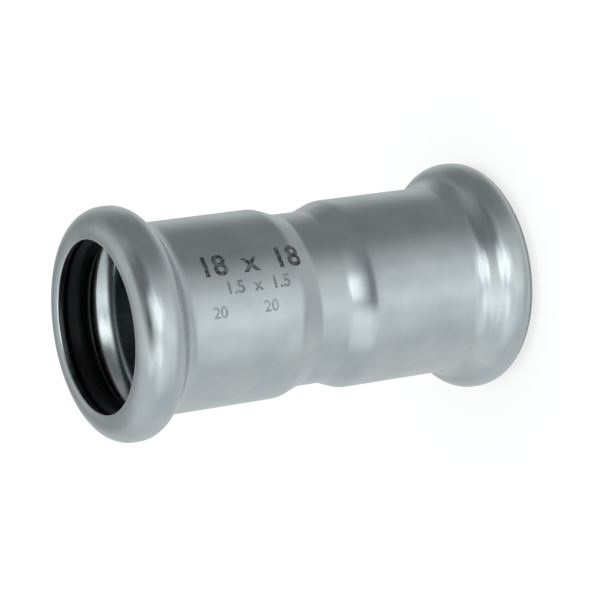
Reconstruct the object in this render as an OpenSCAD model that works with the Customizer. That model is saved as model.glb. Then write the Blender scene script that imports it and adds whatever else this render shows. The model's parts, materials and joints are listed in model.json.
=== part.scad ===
// Press fit coupling: one formed stainless tube that joins two plain tubes end to end.
// Each end is rolled into a bead, and the bead holds a seal ring in its chamber.
// The axis is Z. The coupling stands on its lower bead, with the origin at the centre of its base.

/* [Tube] */
// Outside diameter of the tubes that the coupling joins
tube_d = 18; // [15:0.5:54]
// Radial gap between a tube and its socket
tube_gap = 0.25; // [0.1:0.05:0.5]
// Depth that a tube goes in, from the end of the coupling to the stop
insertion = 20; // [18:0.5:40]

/* [Body] */
// Wall of the sockets and of the waist
wall = 1.5; // [1:0.1:2]
// Straight length of the waist between the two stops
waist_len = 3.2; // [1:0.1:12]
// Length of the slope that makes each stop
stop_len = 3.4; // [3:0.1:8]
// Radial step from a socket down to the waist
stop_step = 0.95; // [0.6:0.05:1.2]
// Bend radius in the hollow of each of the stop's two corners
stop_bend = 1.5; // [0.5:0.1:1.7]

/* [Bead] */
// Wall of the bead, which is thinner because the tube is stretched there
bead_wall = 1.05; // [0.8:0.05:1.6]
// Fillet in the corner between the bead and the socket
bead_fillet = 2.5; // [1.5:0.1:3]
// Angle by which the lip is rolled in past the end of the coupling
lip_roll = 20; // [0:1:30]
// Radius of the lip's two deburred edges
lip_edge = 0.2; // [0.05:0.05:0.35]

/* [Seal] */
// Diameter of the seal ring's cord
seal_cord = 3; // [2:0.1:4]
// Gap between the cord and the roof of its chamber
seal_gap = 0.05; // [0.02:0.01:0.2]
// Room that the chamber gives the cord along the axis
seal_play = 0.5; // [0:0.05:1]

/* [Hidden] */

// Largest height of an arc above the chord between two of its points
arc_sag = 0.003;
// Flats round the axis when the coupling is drawn as a mesh
round_fn = 144;

// Overall length, from the two insertion depths and the stops between them
length = 2 * (insertion + stop_len) + waist_len;
// Height of the mirror plane between the two ends
middle = length / 2;

// Radii of the socket and of the waist
bore_r = tube_d / 2 + tube_gap;
socket_r = bore_r + wall;
waist_r = socket_r - stop_step;

// The seal ring touches the tube, and the chamber and the bead follow its cord
seal_r = (tube_d + seal_cord) / 2;
chamber_r = seal_cord / 2 + seal_gap;
bead_r = chamber_r + bead_wall;

// Heights above the mirror plane of the bead's two arc centres and of the ring between them
bead_front_z = middle - bead_r;
bead_back_z = bead_front_z - seal_play;
seal_z = (bead_front_z + bead_back_z) / 2;

// Direction of the lip's square cut, from the front arc's centre, counted from straight outwards
lip_angle = 90 + lip_roll;
// Distances from that centre to the centres of the lip's two edges
outer_edge_r = bead_r - lip_edge;
inner_edge_r = chamber_r + lip_edge;

// The stop: two bends of one angle with a straight slope between them
bend_out = stop_bend + wall;
bend_sum = stop_bend + bend_out;
slope_rise = bend_sum - stop_step;
stop_angle = atan2(stop_len, slope_rise) - acos(bend_sum / norm([stop_len, slope_rise]));
waist_bend = [waist_r + stop_bend, waist_len / 2];
socket_bend = [socket_r - bend_out, waist_len / 2 + stop_len];

// Points along an arc about a centre, both ends included
function arc(centre, r, from, to) =
    let (steps = ceil(abs(to - from) / (2 * acos(1 - arc_sag / r))))
    [for (i = [0:steps])
        let (a = from + (to - from) * i / steps)
        centre + r * [cos(a), sin(a)]];

// Centre of a fillet that lies on the cylinder of radius skin_r and meets the bead arc of radius r
function fillet_centre(skin_r, fillet, r) =
    let (rise = skin_r + fillet - seal_r)
    [skin_r + fillet, bead_back_z - sqrt(pow(r + fillet, 2) - pow(rise, 2))];

// Direction from a fillet's centre to the bead's rear arc centre
function fillet_angle(centre) = atan2(bead_back_z - centre[1], seal_r - centre[0]);

// Direction from the front arc's centre to the centre of a lip edge at distance r
function edge_angle(r) = lip_angle - asin(lip_edge / r);

// Centre of a lip edge at distance r from the front arc's centre
function edge_centre(r) = bead_front + r * [cos(edge_angle(r)), sin(edge_angle(r))];

bead_front = [seal_r, bead_front_z];
bead_back = [seal_r, bead_back_z];
outer_fillet = fillet_centre(socket_r, bead_fillet, bead_r);
inner_fillet = fillet_centre(bore_r, bead_fillet + wall, chamber_r);

// Outer skin of one end, from the waist to the lip
outer_skin = concat(
    arc(waist_bend, stop_bend, 180, 180 - stop_angle),
    arc(socket_bend, bend_out, -stop_angle, 0),
    arc(outer_fillet, bead_fillet, 180, fillet_angle(outer_fillet)),
    arc(bead_back, bead_r, fillet_angle(outer_fillet) - 180, 0),
    arc(bead_front, bead_r, 0, edge_angle(outer_edge_r))
);

// The lip's cut between its two edges, then the inner skin from the seal chamber back to the waist
inner_skin = concat(
    arc(edge_centre(outer_edge_r), lip_edge, edge_angle(outer_edge_r), lip_angle + 90),
    arc(edge_centre(inner_edge_r), lip_edge, lip_angle + 90, edge_angle(inner_edge_r) + 180),
    arc(bead_front, chamber_r, edge_angle(inner_edge_r), 0),
    arc(bead_back, chamber_r, 0, fillet_angle(inner_fillet) - 180),
    arc(inner_fillet, bead_fillet + wall, fillet_angle(inner_fillet), 180),
    arc(socket_bend, stop_bend, 0, -stop_angle),
    arc(waist_bend, bend_out, 180 - stop_angle, 180)
);

end_section = concat(outer_skin, inner_skin);

// The wall's section: one end above the mirror plane and its mirror image below it
module wall_section() {
    mirrored = [for (i = [len(end_section) - 1:-1:0]) [end_section[i][0], -end_section[i][1]]];
    polygon(concat(end_section, mirrored));
}

// Stainless tube with two sockets, a waist that stops the tubes and a rolled bead at each end
module press_body() {
    color("silver")
    translate([0, 0, middle])
    rotate_extrude($fn = round_fn)
    wall_section();
}

// Rubber ring of round cord in a bead: side is 1 for the top and -1 for the bottom
module seal_ring(side) {
    color("#17181a")
    translate([0, 0, middle + side * seal_z])
    rotate_extrude($fn = round_fn)
    translate([seal_r, 0])
    circle(d = seal_cord, $fn = round_fn / 3);
}

press_body();
seal_ring(1);  // top_seal_ring
seal_ring(-1);  // bottom_seal_ring
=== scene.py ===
"""Straight press fit pipe coupling, dressed, lit and framed as in its photograph."""
import json

import bmesh
import bpy
import numpy as np
from mathutils import Matrix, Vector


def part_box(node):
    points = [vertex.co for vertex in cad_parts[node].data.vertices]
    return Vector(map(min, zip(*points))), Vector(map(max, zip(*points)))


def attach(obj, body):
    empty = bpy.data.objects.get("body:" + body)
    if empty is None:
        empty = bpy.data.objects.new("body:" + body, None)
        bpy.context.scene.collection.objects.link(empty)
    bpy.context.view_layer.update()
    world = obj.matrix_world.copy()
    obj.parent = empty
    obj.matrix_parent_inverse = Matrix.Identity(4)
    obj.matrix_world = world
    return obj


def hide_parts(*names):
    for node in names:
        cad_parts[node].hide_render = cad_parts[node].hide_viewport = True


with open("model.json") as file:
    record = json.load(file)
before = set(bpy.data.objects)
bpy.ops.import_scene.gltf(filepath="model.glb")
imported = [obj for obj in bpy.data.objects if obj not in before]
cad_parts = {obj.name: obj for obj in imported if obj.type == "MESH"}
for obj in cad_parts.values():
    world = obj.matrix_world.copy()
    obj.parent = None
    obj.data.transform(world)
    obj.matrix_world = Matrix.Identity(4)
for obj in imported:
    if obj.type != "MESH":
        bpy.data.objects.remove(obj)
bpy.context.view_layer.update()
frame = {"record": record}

# Press body
# One length of stainless tube. Its middle is necked in to stop the pipes, and each end is bulged
# and rolled over into a bead that holds a seal ring. It is pickled after forming, which leaves a
# satin skin. Sizes are in millimetres and angles in degrees, here and below.
MM = 0.001
body_low, body_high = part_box("press_body")
half_length = (body_high.z - body_low.z) / 2 / MM
bead_reach = body_high.x / MM
top_socket = next(m for m in frame["record"]["mounts"] if m["name"] == "top_socket")
bore_r = top_socket["dims"]["r_mm"]
tube_wall = 1.5
socket_r = bore_r + tube_wall
waist_half = 1.6
stop_len = 3.4
stop_step = 0.95
stop_bend = 1.5
cord_d = 3.0
seal_gap = 0.05
seal_play = 0.5
bead_wall = 1.05
bead_fillet = 2.5
lip_turn = 110
lip_edge = 0.2
arc_step = 4
run_step = 1.0
same_point = 1e-6
body_sides = 180


def rolled(centre, radius, start, stop):
    """Arc of a formed corner: centre (r, z) plus radius times (cos a, sin a), in even steps."""
    steps = max(int(abs(stop - start) / arc_step) + 2, 4)
    a = np.radians(np.linspace(start, stop, steps))
    return np.stack([centre[0] + radius * np.cos(a), centre[1] + radius * np.sin(a)], 1)


def joined(arcs):
    """Arcs joined by straight runs in equal steps of about a millimetre, with no point twice."""
    line = arcs[0]
    for after in arcs[1:]:
        gap = after[0] - line[-1]
        steps = max(int(np.hypot(*gap) / run_step), 1)
        run = line[-1] + np.linspace(0, 1, steps + 1)[1:-1, None] * gap
        line = np.concatenate([line, run, after])
    apart = np.hypot(*np.diff(line, axis=0).T) > same_point
    return line[np.concatenate([[True], apart])]


def bead_foot(skin_r, fillet, round_r):
    """Centre (r, z) of the fillet that rolls on a skin of radius skin_r and on the bead's round."""
    foot_r = skin_r + fillet
    drop = np.sqrt((round_r + fillet) ** 2 - (foot_r - seal_r) ** 2)
    return np.array([foot_r, bead_back - drop])


def towards(centre):
    """Angle from a fillet's centre to the centre of the bead's round."""
    return np.degrees(np.arctan2(bead_back - centre[1], seal_r - centre[0]))


def lip_corner(round_r):
    """Angle and centre of a lip edge, whose small round touches the bead's round and the cut."""
    angle = lip_turn - np.degrees(np.arcsin(lip_edge / round_r))
    a = np.radians(angle)
    return angle, (seal_r + round_r * np.cos(a), bead_front + round_r * np.sin(a))


# Heights in the section are above the middle of the length.
chamber_r = cord_d / 2 + seal_gap
bead_r = chamber_r + bead_wall
seal_r = bead_reach - bead_r
bead_front = half_length - bead_r
bead_back = bead_front - seal_play
waist_r = socket_r - stop_step
stop_sum = 2 * stop_bend + tube_wall
stop_rise = stop_sum - stop_step
stop_turn = np.degrees(
    np.arctan2(stop_len, stop_rise) - np.arccos(stop_sum / np.hypot(stop_len, stop_rise))
)
waist_bend = (waist_r + stop_bend, waist_half)
socket_bend = (socket_r - stop_bend - tube_wall, waist_half + stop_len)
outer_foot = bead_foot(socket_r, bead_fillet, bead_r)
inner_foot = bead_foot(bore_r, bead_fillet + tube_wall, chamber_r)
outer_lip_angle, outer_lip = lip_corner(bead_r - lip_edge)
inner_lip_angle, inner_lip = lip_corner(chamber_r + lip_edge)
upper_half = joined([
    rolled(waist_bend, stop_bend, 180, 180 - stop_turn),
    rolled(socket_bend, stop_bend + tube_wall, -stop_turn, 0),
    rolled(outer_foot, bead_fillet, 180, towards(outer_foot)),
    rolled((seal_r, bead_back), bead_r, towards(outer_foot) - 180, 0),
    rolled((seal_r, bead_front), bead_r, 0, outer_lip_angle),
    rolled(outer_lip, lip_edge, outer_lip_angle, lip_turn + 90),
    rolled(inner_lip, lip_edge, lip_turn + 90, inner_lip_angle + 180),
    rolled((seal_r, bead_front), chamber_r, inner_lip_angle, 0),
    rolled((seal_r, bead_back), chamber_r, 0, towards(inner_foot) - 180),
    rolled(inner_foot, bead_fillet + tube_wall, towards(inner_foot), 180),
    rolled(socket_bend, stop_bend, 0, -stop_turn),
    rolled(waist_bend, stop_bend + tube_wall, 180 - stop_turn, 180),
])
lower_half = upper_half[::-1] * [1, -1]
inner_middle = [[waist_r - tube_wall, 0]]
outer_middle = [[waist_r, 0]]
body_section = np.concatenate([upper_half, inner_middle, lower_half, outer_middle])
body_section[:, 1] += half_length


def about_axis(r, a, z):
    """Points at reach r, turn a in radians and height z: x = r cos a, y = r sin a."""
    return np.stack(np.broadcast_arrays(r * np.cos(a), r * np.sin(a), z), -1)


def placed(name, data):
    """New object at the origin that shows the given mesh, text, lamp or lens."""
    made = bpy.data.objects.new(name, data)
    bpy.context.collection.objects.link(made)
    return made


def surface(name, points, rows_close=False, columns_close=False):
    """Quads between the neighbours of a grid of points in metres, by rows and columns.

    Where rows or columns close, the last one joins the first.
    """
    rows, columns = points.shape[:2]
    row = np.arange(rows if rows_close else rows - 1)[:, None]
    column = np.arange(columns if columns_close else columns - 1)
    next_row = (row + 1) % rows * columns
    next_column = (column + 1) % columns
    row = row * columns
    corners = [row + column, row + next_column, next_row + next_column, next_row + column]
    faces = np.stack(corners, -1).reshape(-1, 4)
    mesh = bpy.data.meshes.new(name)
    mesh.from_pydata(points.reshape(-1, 3).tolist(), [], faces.tolist())
    return placed(name, mesh)


def turned(name, section, sides):
    """Closed section of (r, z) turned about Z in equal steps, shaded smooth."""
    a = np.linspace(0, 2 * np.pi, sides, endpoint=False)
    r, z = section.T[:, :, None] * MM
    piece = surface(name, about_axis(r, a, z), rows_close=True, columns_close=True)
    piece.data.shade_smooth()
    return piece


def linear(hex_colour):
    """sRGB hex colour to linear red, green, blue and 1 for alpha."""
    c = np.array([int(hex_colour[i:i + 2], 16) for i in (1, 3, 5)]) / 255
    return (*np.where(c <= 0.04045, c / 12.92, ((c + 0.055) / 1.055) ** 2.4).tolist(), 1.0)


def bare_material(name):
    """New material and its node tree, with no nodes in it."""
    material = bpy.data.materials.new(name)
    material.use_nodes = True
    material.node_tree.nodes.clear()
    return material, material.node_tree


def add_node(tree, kind, inputs=(), **settings):
    """Adds a node of a kind, sets its settings, and gives each named input a value or a link."""
    made = tree.nodes.new(kind)
    for key, value in settings.items():
        setattr(made, key, value)
    for key, value in dict(inputs).items():
        if isinstance(value, bpy.types.NodeSocket):
            tree.links.new(value, made.inputs[key])
        else:
            made.inputs[key].default_value = value
    return made


# Pickled stainless steel: satin grey, faintly mottled by the acid bath, with fine grain, drawing
# lines along the tube and roller marks around the beads. Grain and lines are drawn about five
# times too coarse, so that they show.
steel_dark = "#B3BCC2"
steel_light = "#DBDFDD"
mottle_size = 5.0
grain_size = 0.18
line_width = 0.3
line_length = 9.0
roller_pitch = 0.35
roller_share = 0.5
roller_start = socket_r + 0.6
roller_full = bead_reach - 0.5
steel_relief = 0.01
steel_relief_share = 0.05
texture_range = (0.6, 1.4)
satin_range = (0.17, 0.25)
steel, tree = bare_material("pickled_stainless_steel")
place = add_node(tree, "ShaderNodeTexCoord").outputs["Object"]
mottle = add_node(
    tree,
    "ShaderNodeTexNoise",
    {"Vector": place, "Scale": 1 / (mottle_size * MM), "Detail": 3.0},
)
grain = add_node(
    tree,
    "ShaderNodeTexNoise",
    {"Vector": place, "Scale": 1 / (grain_size * MM), "Detail": 2.0},
)
along = add_node(
    tree, "ShaderNodeMapping", {"Vector": place, "Scale": (1, 1, line_width / line_length)}
)
lines = add_node(
    tree,
    "ShaderNodeTexNoise",
    {"Vector": along.outputs[0], "Scale": 1 / (line_width * MM), "Detail": 2.0},
)
across = add_node(tree, "ShaderNodeVectorMath", {0: place, 1: (1, 1, 0)}, operation="MULTIPLY")
reach = add_node(tree, "ShaderNodeVectorMath", {0: across.outputs[0]}, operation="LENGTH")
on_bead = add_node(
    tree,
    "ShaderNodeMapRange",
    {
        "Value": reach.outputs["Value"],
        "From Min": roller_start * MM,
        "From Max": roller_full * MM,
    },
)
# A wave's bands repeat every 0.1 pi of its scaled height.
roller = add_node(
    tree,
    "ShaderNodeTexWave",
    {
        "Vector": place,
        "Scale": 0.1 * np.pi / (roller_pitch * MM),
        "Distortion": 1.2,
        "Detail": 1.0,
    },
    bands_direction="Z",
)
roller_on_bead = add_node(
    tree,
    "ShaderNodeMath",
    {0: roller.outputs["Fac"], 1: on_bead.outputs[0]},
    operation="MULTIPLY",
)
texture = add_node(
    tree,
    "ShaderNodeMath",
    {0: grain.outputs["Fac"], 1: lines.outputs["Fac"]},
    operation="ADD",
)
relief = add_node(
    tree,
    "ShaderNodeMath",
    {0: roller_on_bead.outputs[0], 1: roller_share, 2: texture.outputs[0]},
    operation="MULTIPLY_ADD",
)
bump = add_node(
    tree,
    "ShaderNodeBump",
    {
        "Height": relief.outputs[0],
        "Strength": steel_relief_share,
        "Distance": steel_relief * MM,
    },
)
colour = add_node(
    tree,
    "ShaderNodeMix",
    {0: mottle.outputs["Fac"], 6: linear(steel_dark), 7: linear(steel_light)},
    data_type="RGBA",
)
satin = add_node(
    tree,
    "ShaderNodeMapRange",
    {
        "Value": texture.outputs[0],
        "From Min": texture_range[0],
        "From Max": texture_range[1],
        "To Min": satin_range[0],
        "To Max": satin_range[1],
    },
)
shader = add_node(
    tree,
    "ShaderNodeBsdfPrincipled",
    {
        "Base Color": colour.outputs[2],
        "Metallic": 1.0,
        "Roughness": satin.outputs[0],
        "Normal": bump.outputs[0],
    },
)
add_node(tree, "ShaderNodeOutputMaterial", {"Surface": shader.outputs[0]})

body = turned("coupling_body", body_section, body_sides)
body.data.materials.append(steel)
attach(body, "root")
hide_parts("press_body")

# Seal rings
# A ring of round rubber cord lies in each bead and is squeezed onto the pipe. It is moulded in two
# halves, which leaves a fine line of flash around its inside and outside, and it is greased for
# assembly.
ring_sides = 144
cord_steps = 60
flash_height = 0.03
flash_width = 5.0


def cord_section(height):
    """Round cord about (seal_r, height), raised by a bell curve of flash at angles 0 and 180."""
    a = np.linspace(0, 360, cord_steps, endpoint=False)
    from_split = (a + 90) % 180 - 90
    radius = cord_d / 2 + flash_height * np.exp(-((from_split / flash_width) ** 2))
    a = np.radians(a)
    return np.stack([seal_r + radius * np.cos(a), height + radius * np.sin(a)], 1)


# Peroxide cured rubber: deep black, with a thin grease sheen that a fine mould texture breaks up.
rubber_black = "#050506"
rubber_dusty = "#0B0B0D"
dust_size = 2.5
mould_grain = 0.15
mould_relief = 0.01
mould_relief_share = 0.2
grease_range = (0.22, 0.42)
grease_gloss = 0.1
rubber, tree = bare_material("greased_seal_rubber")
place = add_node(tree, "ShaderNodeTexCoord").outputs["Object"]
dust = add_node(
    tree,
    "ShaderNodeTexNoise",
    {"Vector": place, "Scale": 1 / (dust_size * MM), "Detail": 3.0},
)
mould = add_node(
    tree,
    "ShaderNodeTexNoise",
    {"Vector": place, "Scale": 1 / (mould_grain * MM), "Detail": 2.0},
)
colour = add_node(
    tree,
    "ShaderNodeMix",
    {0: dust.outputs["Fac"], 6: linear(rubber_black), 7: linear(rubber_dusty)},
    data_type="RGBA",
)
greasy = add_node(
    tree,
    "ShaderNodeMapRange",
    {"Value": dust.outputs["Fac"], "To Min": grease_range[0], "To Max": grease_range[1]},
)
bump = add_node(
    tree,
    "ShaderNodeBump",
    {
        "Height": mould.outputs["Fac"],
        "Strength": mould_relief_share,
        "Distance": mould_relief * MM,
    },
)
shader = add_node(
    tree,
    "ShaderNodeBsdfPrincipled",
    {
        "Base Color": colour.outputs[2],
        "Roughness": greasy.outputs[0],
        "Specular IOR Level": grease_gloss,
        "Normal": bump.outputs[0],
    },
)
add_node(tree, "ShaderNodeOutputMaterial", {"Surface": shader.outputs[0]})

for node_name in ("top_seal_ring", "bottom_seal_ring"):
    ring_low, ring_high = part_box(node_name)
    ring_middle = (ring_low.z + ring_high.z) / 2 / MM
    ring = turned(node_name.replace("seal", "rubber"), cord_section(ring_middle), ring_sides)
    ring.data.materials.append(rubber)
    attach(ring, "root")
    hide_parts(node_name)

# Size mark
# The tube size, the wall and the insertion depth are printed on the upper socket as plain numbers,
# in ink that has dried into the satin skin. The print reads along the tube, from the upper mouth
# to the waist, and the end of the bold row runs onto the shoulder.
ink_film = 0.012
strip = 0.3
half_print = 8.0
on_plane = 1e-6
sliver = 0.002
# Each row: its numbers, their size and extra weight, its turn about the axis and its height.
mark_rows = [
    ("18  x  18", 3.5, 0.08, -47.5, 34.9),
    ("1.5  x  1.5", 2.0, 0.04, -62.0, 34.7),
    ("20         20", 1.8, 0.03, -75.5, 36.7),
]
skin_r, skin_z = upper_half[:np.argmax(upper_half[:, 0])].T


def on_skin(flat, angle, height):
    """Flat print (u, v, w) on the outer skin: u runs down the tube, v round it and w out of it."""
    z = height - flat[:, 0]
    r = np.interp(z - half_length, skin_z, skin_r) + flat[:, 2]
    turn = np.radians(angle) + flat[:, 1] / socket_r
    return about_axis(r, turn, z) * MM


# Printing ink: matt and dark grey, worn in spots so that the steel's grey comes through.
wear_size = 0.5
wear_range = (0.4, 0.75)
matt_range = (0.7, 0.45)


def printing_ink(name, dark, worn):
    """Matt ink whose colour goes from dark to worn where a fine noise says that it rubbed off."""
    ink, tree = bare_material(name)
    place = add_node(tree, "ShaderNodeTexCoord").outputs["Object"]
    wear = add_node(
        tree,
        "ShaderNodeTexNoise",
        {"Vector": place, "Scale": 1 / (wear_size * MM), "Detail": 3.0},
    ).outputs["Fac"]
    thin = add_node(
        tree,
        "ShaderNodeMapRange",
        {"Value": wear, "From Min": wear_range[0], "From Max": wear_range[1]},
    )
    colour = add_node(
        tree,
        "ShaderNodeMix",
        {0: thin.outputs[0], 6: linear(dark), 7: linear(worn)},
        data_type="RGBA",
    )
    matt = add_node(
        tree,
        "ShaderNodeMapRange",
        {"Value": wear, "To Min": matt_range[0], "To Max": matt_range[1]},
    )
    shader = add_node(
        tree,
        "ShaderNodeBsdfPrincipled",
        {"Base Color": colour.outputs[2], "Roughness": matt.outputs[0]},
    )
    add_node(tree, "ShaderNodeOutputMaterial", {"Surface": shader.outputs[0]})
    return ink


mark_inks = [
    printing_ink("worn_printing_ink", "#262723", "#6A6D6C"),
    printing_ink("thin_printing_ink", "#6A7070", "#8E9596"),
    printing_ink("faint_printing_ink", "#868E90", "#B0B7B9"),
]
for row, (numbers, size, weight, angle, height) in enumerate(mark_rows):
    letters = bpy.data.curves.new("letters", "FONT")
    letters.body = numbers
    letters.size = size
    letters.offset = weight
    letters.extrude = ink_film
    letters.align_x = "CENTER"
    letters.align_y = "CENTER"
    carrier = placed("letters", letters)
    shown = carrier.evaluated_get(bpy.context.evaluated_depsgraph_get())
    flat = bpy.data.meshes.new_from_object(shown)
    bpy.data.objects.remove(carrier)
    # Cuts every strip, along and across, let the flat print bend with the skin.
    cut = bmesh.new()
    cut.from_mesh(flat)
    for across in ((1, 0, 0), (0, 1, 0)):
        for level in np.arange(-half_print, half_print, strip):
            every = cut.verts[:] + cut.edges[:] + cut.faces[:]
            middle = level * np.array(across)
            bmesh.ops.bisect_plane(
                cut, geom=every, plane_co=middle, plane_no=across, dist=on_plane
            )
    bmesh.ops.remove_doubles(cut, verts=cut.verts, dist=sliver)
    bmesh.ops.recalc_face_normals(cut, faces=cut.faces)
    cut.to_mesh(flat)
    cut.free()
    points = np.empty(3 * len(flat.vertices))
    flat.vertices.foreach_get("co", points)
    flat.vertices.foreach_set("co", on_skin(points.reshape(-1, 3), angle, height).ravel())
    flat.update()
    mark = placed(f"size_mark_{row + 1}", flat)
    mark.data.materials.append(mark_inks[row])
    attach(mark, "root")

# Studio
# A white sweep under the coupling, with soft panels around it and two felt cards close to it, as
# for a catalogue picture of satin metal. Diffuse light is even and white, and the metal mirrors the
# panels and the cards.
floor_reach = 2000.0
floor_sides = 96
floor_white = "#F4F4F4"
camera_share = 0.75

# White sweep: matt paper, drawn mostly at full white for the camera, so that only a soft shadow is
# left on it.
paper, tree = bare_material("white_paper_sweep")
seen = add_node(tree, "ShaderNodeLightPath").outputs["Is Camera Ray"]
share = add_node(tree, "ShaderNodeMath", {0: seen, 1: camera_share}, operation="MULTIPLY")
matt = add_node(tree, "ShaderNodeBsdfDiffuse", {"Color": linear(floor_white)})
white = add_node(tree, "ShaderNodeEmission", {"Strength": 1.0})
mixed = add_node(
    tree, "ShaderNodeMixShader", {0: share.outputs[0], 1: matt.outputs[0], 2: white.outputs[0]}
)
add_node(tree, "ShaderNodeOutputMaterial", {"Surface": mixed.outputs[0]})


def floor_piece(name, inner, outer):
    """Flat ring of paper on z = 0, between two radii."""
    a = np.linspace(0, 2 * np.pi, floor_sides, endpoint=False)
    r = np.array([outer, inner])[:, None] * MM
    piece = surface(name, about_axis(r, a, 0.0), columns_close=True)
    piece.data.materials.append(paper)
    return piece


# Of the two pieces of paper, reflections show only the one under the coupling.
floor = floor_piece("floor", bead_reach, floor_reach)
floor.visible_glossy = False
floor_piece("floor_under", 0.0, bead_reach)

# Cards: felt on board, hung close to the coupling as a photographer's flags. Only reflections from
# close by show them: the black one as the dark edge of the near bead, the pale one as the dark
# tongue on the lower shoulder.
view_azimuth = -73.236
view_elevation = 28.659
black_card_felt = "#141414"
black_card_hole = 0.5
black_card_r = 25.0
black_card_steps = 49
black_card_place = (29.0, -4.0, 82.0)
black_card_aim = (12.4, 0.0, 49.2)
black_card_range = (42.0, 46.0)
pale_card_felt = "#CACACA"
pale_card_reach = 16.5
pale_card_heights = (16.2, 18.5, 22.0, 23.2)
pale_card_azimuths = (-22, -11, -1, 8, 18, 29, 42, 58, 78)
pale_card_range = (6.4, 6.7)


def from_camera(reach, azimuth, height):
    """Place at a reach from the axis, an azimuth counted from the camera's, and a height."""
    return about_axis(reach, np.radians(view_azimuth + np.asarray(azimuth)), height)


def card(name, points, cover, colour, near, far):
    """Felt on a grid of points that fades with its cover, and for rays from near to far long."""
    piece = surface(name, points * MM)
    attribute = piece.data.attributes.new("cover", "FLOAT", "POINT")
    attribute.data.foreach_set("value", cover.ravel())
    felt, tree = bare_material(f"{name}_felt")
    length = add_node(tree, "ShaderNodeLightPath").outputs["Ray Length"]
    close = add_node(
        tree,
        "ShaderNodeMapRange",
        {"Value": length, "From Min": far * MM, "From Max": near * MM},
    )
    there = add_node(tree, "ShaderNodeAttribute", attribute_name="cover").outputs["Fac"]
    share = add_node(tree, "ShaderNodeMath", {0: close.outputs[0], 1: there}, operation="MULTIPLY")
    matt = add_node(tree, "ShaderNodeBsdfDiffuse", {"Color": linear(colour)})
    clear = add_node(tree, "ShaderNodeBsdfTransparent")
    mixed = add_node(
        tree,
        "ShaderNodeMixShader",
        {0: share.outputs[0], 1: clear.outputs[0], 2: matt.outputs[0]},
    )
    add_node(tree, "ShaderNodeOutputMaterial", {"Surface": mixed.outputs[0]})
    piece.data.materials.append(felt)
    piece.visible_camera = False
    piece.visible_diffuse = False
    piece.visible_shadow = False


# The black card is a disc square to its aim, and it fades from its middle to its rim.
hung = from_camera(*black_card_place)
aim = from_camera(*black_card_aim) - hung
side = np.cross(aim, (0, 0, 1))
side /= np.linalg.norm(side)
rise = np.cross(side, aim / np.linalg.norm(aim))
t = np.linspace(0, 2 * np.pi, black_card_steps)[:, None]
r = np.array([black_card_hole, black_card_r])[:, None, None]
disc = hung + r * (np.cos(t) * side + np.sin(t) * rise)
cover = np.array([[1.0], [0.0]]) + np.zeros(black_card_steps)
card("black_card", disc, cover, black_card_felt, *black_card_range)

# The pale card is a strip bent round the axis, and it fades along its borders.
azimuth, height = np.meshgrid(pale_card_azimuths, pale_card_heights)
bent = from_camera(pale_card_reach, azimuth, height)
cover = np.zeros(height.shape)
cover[1:-1, 1:-1] = 1
card("pale_card", bent, cover, pale_card_felt, *pale_card_range)

# Each panel: azimuth from the camera's, elevation, half width, soft border and strength.
studio_white = "#F9FEFF"
room_grey = 0.59
darkest = 0.05
even_light = 0.75
panels = [
    (86, -9, 21, 39, -0.33),
    (-34, 2, 18, 34, 0.31),
    (3, 16, 10, 10, 0.76),
    (-34, 21, 5.5, 11.5, 0.36),
    (35, 54, 12, 36, -0.38),
    (-3, -32, 9, 19, 0.2),
    (-80, 51, 26, 40, 0.14),
    (-122, -40, 21, 39, 0.09),
    (7, 43, 6, 12.5, 1.2),
    (19, 22, 5, 12, 0.46),
    (9, -5, 5, 10.5, 0.42),
    (157, 42, 22, 35, -0.24),
    (-27, 63, 12, 21, 0.5),
    (-17, 11, 2.5, 6, -0.12),
    (169, 58, 12.5, 26, 0.24),
]
world = bpy.data.worlds.new("studio")
bpy.context.scene.world = world
world.use_nodes = True
world.cycles.sampling_method = "NONE"
tree = world.node_tree
tree.nodes.clear()
ray = add_node(tree, "ShaderNodeTexCoord").outputs["Generated"]
path = add_node(tree, "ShaderNodeLightPath")
total = room_grey
for azimuth, elevation, half_width, border, strength in panels:
    e = np.radians(elevation)
    aim = from_camera(np.cos(e), azimuth, np.sin(e)).tolist()
    along = add_node(tree, "ShaderNodeVectorMath", {0: ray, 1: aim}, operation="DOT_PRODUCT")
    glow = add_node(
        tree,
        "ShaderNodeMapRange",
        {
            "Value": along.outputs["Value"],
            "From Min": np.cos(np.radians(half_width + border)),
            "From Max": np.cos(np.radians(half_width)),
            "To Min": 0.0,
            "To Max": strength,
        },
        interpolation_type="SMOOTHSTEP",
    )
    both = add_node(tree, "ShaderNodeMath", {0: glow.outputs[0], 1: total}, operation="ADD")
    total = both.outputs[0]
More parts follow.
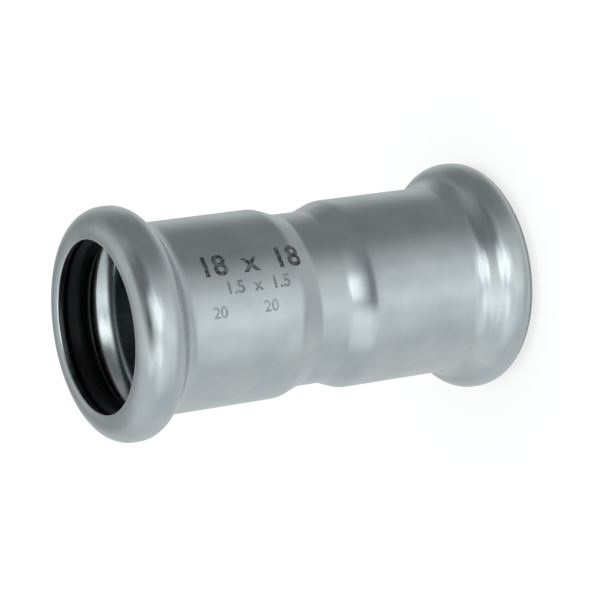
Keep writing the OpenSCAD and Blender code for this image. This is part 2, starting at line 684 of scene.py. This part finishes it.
# Reflections show the panels, the camera sees plain white, and all other rays meet an even light.
mirrored = add_node(tree, "ShaderNodeMath", {0: total, 1: darkest}, operation="MAXIMUM")
rest = add_node(
    tree,
    "ShaderNodeMix",
    {0: path.outputs["Is Glossy Ray"], 2: even_light, 3: mirrored.outputs[0]},
    data_type="FLOAT",
)
level = add_node(
    tree,
    "ShaderNodeMix",
    {0: path.outputs["Is Camera Ray"], 2: rest.outputs[0], 3: 1.0},
    data_type="FLOAT",
)
sky = add_node(
    tree,
    "ShaderNodeBackground",
    {"Color": linear(studio_white), "Strength": level.outputs[0]},
)
add_node(tree, "ShaderNodeOutputWorld", {"Surface": sky.outputs[0]})

# The lamp hangs over the coupling and gives it a soft shadow.
lamp_size = 500
lamp_watts = 3.0
lamp_place = (50, -50, 700)
overhead = bpy.data.lights.new("overhead_softbox", "AREA")
overhead.shape = "DISK"
overhead.size = lamp_size * MM
overhead.energy = lamp_watts
lamp = placed("overhead_softbox", overhead)
lamp.location = np.array(lamp_place) * MM
lamp.visible_glossy = False

# Camera
# It looks down on the near mouth and is rolled so that the coupling lies across the picture.
# It is then moved a little in the picture's plane, to put the coupling where the photograph
# has it.
view_roll = -98.220
view_distance = 343.684
view_lens = 181.94
sensor_width = 36.0
nearest_view = 10
shift_right = 0.795
shift_up = -0.101
a, e, roll = np.radians([view_azimuth, view_elevation, view_roll])
back = from_camera(np.cos(e), 0, np.sin(e))
level_right = np.array([-np.sin(a), np.cos(a), 0.0])
right = np.cos(roll) * level_right + np.sin(roll) * np.cross(back, level_right)
up = np.cross(back, right)
shift = shift_right * right + shift_up * up
stand = np.array([0, 0, half_length]) + view_distance * back + shift
lens = bpy.data.cameras.new("camera")
lens.lens = view_lens
lens.sensor_width = sensor_width
lens.clip_start = nearest_view * MM
camera = placed("camera", lens)
pose = np.eye(4)
pose[:3, :3] = np.stack([right, up, back], 1)
pose[:3, 3] = stand * MM
camera.matrix_world = Matrix(pose.tolist())
bpy.context.scene.camera = camera
bpy.context.scene.view_settings.view_transform = "Standard"
